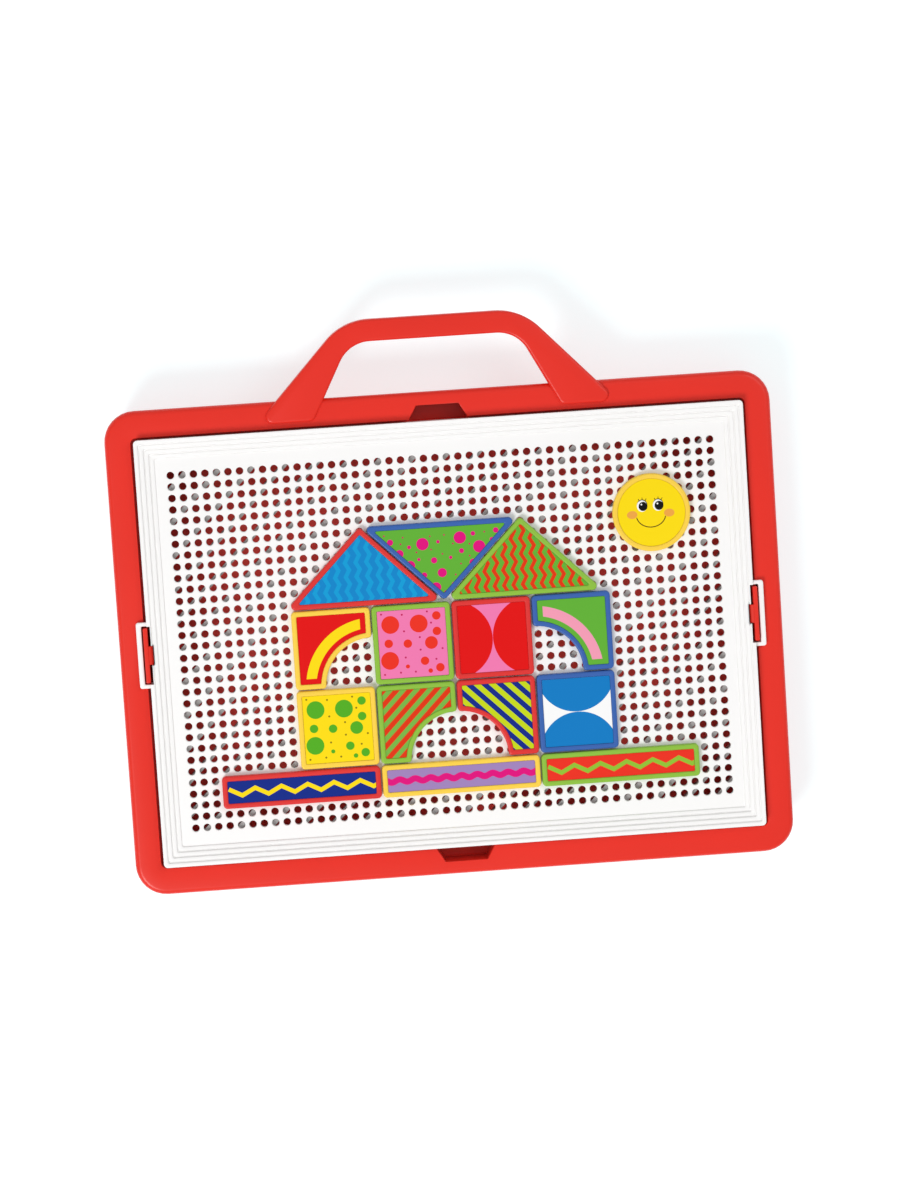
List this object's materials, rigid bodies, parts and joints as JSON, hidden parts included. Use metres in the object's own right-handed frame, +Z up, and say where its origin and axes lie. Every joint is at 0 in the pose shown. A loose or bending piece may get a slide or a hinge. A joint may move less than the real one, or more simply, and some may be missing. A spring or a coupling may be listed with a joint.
{
  "type": "mosaic pegboard case",
  "caption": "Flat carrying case with a perforated board for a lid and patterned mosaic tiles whose pegs stand in the board's holes.",
  "frame": {"origin": "on the ground, under the middle of the whole outline, handle included", "axes": "+X along the case's long side, +Y towards the handle, +Z up, out of the board"},
  "size_m": [0.2902, 0.2458, 0.0342],
  "materials": {
    "case_red": "smooth moulded plastic, semi-gloss",
    "board_white": "smooth moulded plastic, satin",
    "tile_red": "smooth moulded plastic, semi-gloss",
    "tile_blue": "smooth moulded plastic, semi-gloss",
    "tile_green": "smooth moulded plastic, semi-gloss",
    "tile_yellow": "smooth moulded plastic, semi-gloss",
    "print_yellow": "printed film",
    "print_blue": "printed film",
    "print_green": "printed film",
    "print_red": "printed film",
    "print_pink": "printed film",
    "print_navy": "printed film",
    "print_lilac": "printed film"
  },
  "bodies": {
    "case": {"case_tray": "case_red", "carry_handle": "case_red"},
    "lug_left": {"snap_lug_left": "case_red"},
    "lug_right": {"snap_lug_right": "case_red"},
    "board": {"board_frame": "board_white", "peg_plate": "board_white"},
    "sun_tile": {"sun_tile": "tile_yellow", "sun_print": "print_yellow"},
    "zigzag_triangle_tile": {"zigzag_triangle_tile": "tile_red", "zigzag_triangle_print": "print_blue"},
    "dotted_triangle_tile": {"dotted_triangle_tile": "tile_blue", "dotted_triangle_print": "print_green"},
    "wavy_triangle_tile": {"wavy_triangle_tile": "tile_green", "wavy_triangle_print": "print_green"},
    "yellow_arch_tile": {"yellow_arch_tile": "tile_yellow", "yellow_arch_print": "print_red"},
    "pink_dot_tile": {"pink_dot_tile": "tile_green", "pink_dot_print": "print_pink"},
    "red_disc_tile": {"red_disc_tile": "tile_red", "red_disc_print": "print_red"},
    "blue_arch_tile": {"blue_arch_tile": "tile_blue", "blue_arch_print": "print_green"},
    "yellow_dot_tile": {"yellow_dot_tile": "tile_yellow", "yellow_dot_print": "print_yellow"},
    "green_stripe_tile": {"green_stripe_tile": "tile_green", "green_stripe_print": "print_green"},
    "red_stripe_tile": {"red_stripe_tile": "tile_red", "red_stripe_print": "print_navy"},
    "blue_disc_tile": {"blue_disc_tile": "tile_blue", "blue_disc_print": "print_blue"},
    "red_bar_tile": {"red_bar_tile": "tile_red", "red_bar_print": "print_navy"},
    "yellow_bar_tile": {"yellow_bar_tile": "tile_yellow", "yellow_bar_print": "print_lilac"},
    "green_bar_tile": {"green_bar_tile": "tile_green", "green_bar_print": "print_red"}
  },
  "joints": [
    {"name": "board_lift", "type": "slide", "parent": "case", "child": "board", "axis": [0, 0, 1], "range_m": [0, 0.04]},
    {"name": "lug_left_flex", "type": "hinge", "parent": "case", "child": "lug_left", "pos_m": [-0.1343, -0.0165, 0.014], "axis": [0, -1, 0], "range_deg": [0, 1.5], "stiffness_Nm_per_rad": 2},
    {"name": "lug_right_flex", "type": "hinge", "parent": "case", "child": "lug_right", "pos_m": [0.1343, -0.0165, 0.014], "axis": [0, 1, 0], "range_deg": [0, 1.5], "stiffness_Nm_per_rad": 2},
    {"name": "sun_lift", "type": "slide", "parent": "board", "child": "sun_tile", "axis": [0, 0, 1], "range_m": [0, 0.008]},
    {"name": "zigzag_triangle_lift", "type": "slide", "parent": "board", "child": "zigzag_triangle_tile", "axis": [0, 0, 1], "range_m": [0, 0.008]},
    {"name": "dotted_triangle_lift", "type": "slide", "parent": "board", "child": "dotted_triangle_tile", "axis": [0, 0, 1], "range_m": [0, 0.008]},
    {"name": "wavy_triangle_lift", "type": "slide", "parent": "board", "child": "wavy_triangle_tile", "axis": [0, 0, 1], "range_m": [0, 0.008]},
    {"name": "yellow_arch_lift", "type": "slide", "parent": "board", "child": "yellow_arch_tile", "axis": [0, 0, 1], "range_m": [0, 0.008]},
    {"name": "pink_dot_lift", "type": "slide", "parent": "board", "child": "pink_dot_tile", "axis": [0, 0, 1], "range_m": [0, 0.008]},
    {"name": "red_disc_lift", "type": "slide", "parent": "board", "child": "red_disc_tile", "axis": [0, 0, 1], "range_m": [0, 0.008]},
    {"name": "blue_arch_lift", "type": "slide", "parent": "board", "child": "blue_arch_tile", "axis": [0, 0, 1], "range_m": [0, 0.008]},
    {"name": "yellow_dot_lift", "type": "slide", "parent": "board", "child": "yellow_dot_tile", "axis": [0, 0, 1], "range_m": [0, 0.008]},
    {"name": "green_stripe_lift", "type": "slide", "parent": "board", "child": "green_stripe_tile", "axis": [0, 0, 1], "range_m": [0, 0.008]},
    {"name": "red_stripe_lift", "type": "slide", "parent": "board", "child": "red_stripe_tile", "axis": [0, 0, 1], "range_m": [0, 0.008]},
    {"name": "blue_disc_lift", "type": "slide", "parent": "board", "child": "blue_disc_tile", "axis": [0, 0, 1], "range_m": [0, 0.008]},
    {"name": "red_bar_lift", "type": "slide", "parent": "board", "child": "red_bar_tile", "axis": [0, 0, 1], "range_m": [0, 0.008]},
    {"name": "yellow_bar_lift", "type": "slide", "parent": "board", "child": "yellow_bar_tile", "axis": [0, 0, 1], "range_m": [0, 0.008]},
    {"name": "green_bar_lift", "type": "slide", "parent": "board", "child": "green_bar_tile", "axis": [0, 0, 1], "range_m": [0, 0.008]}
  ]
}
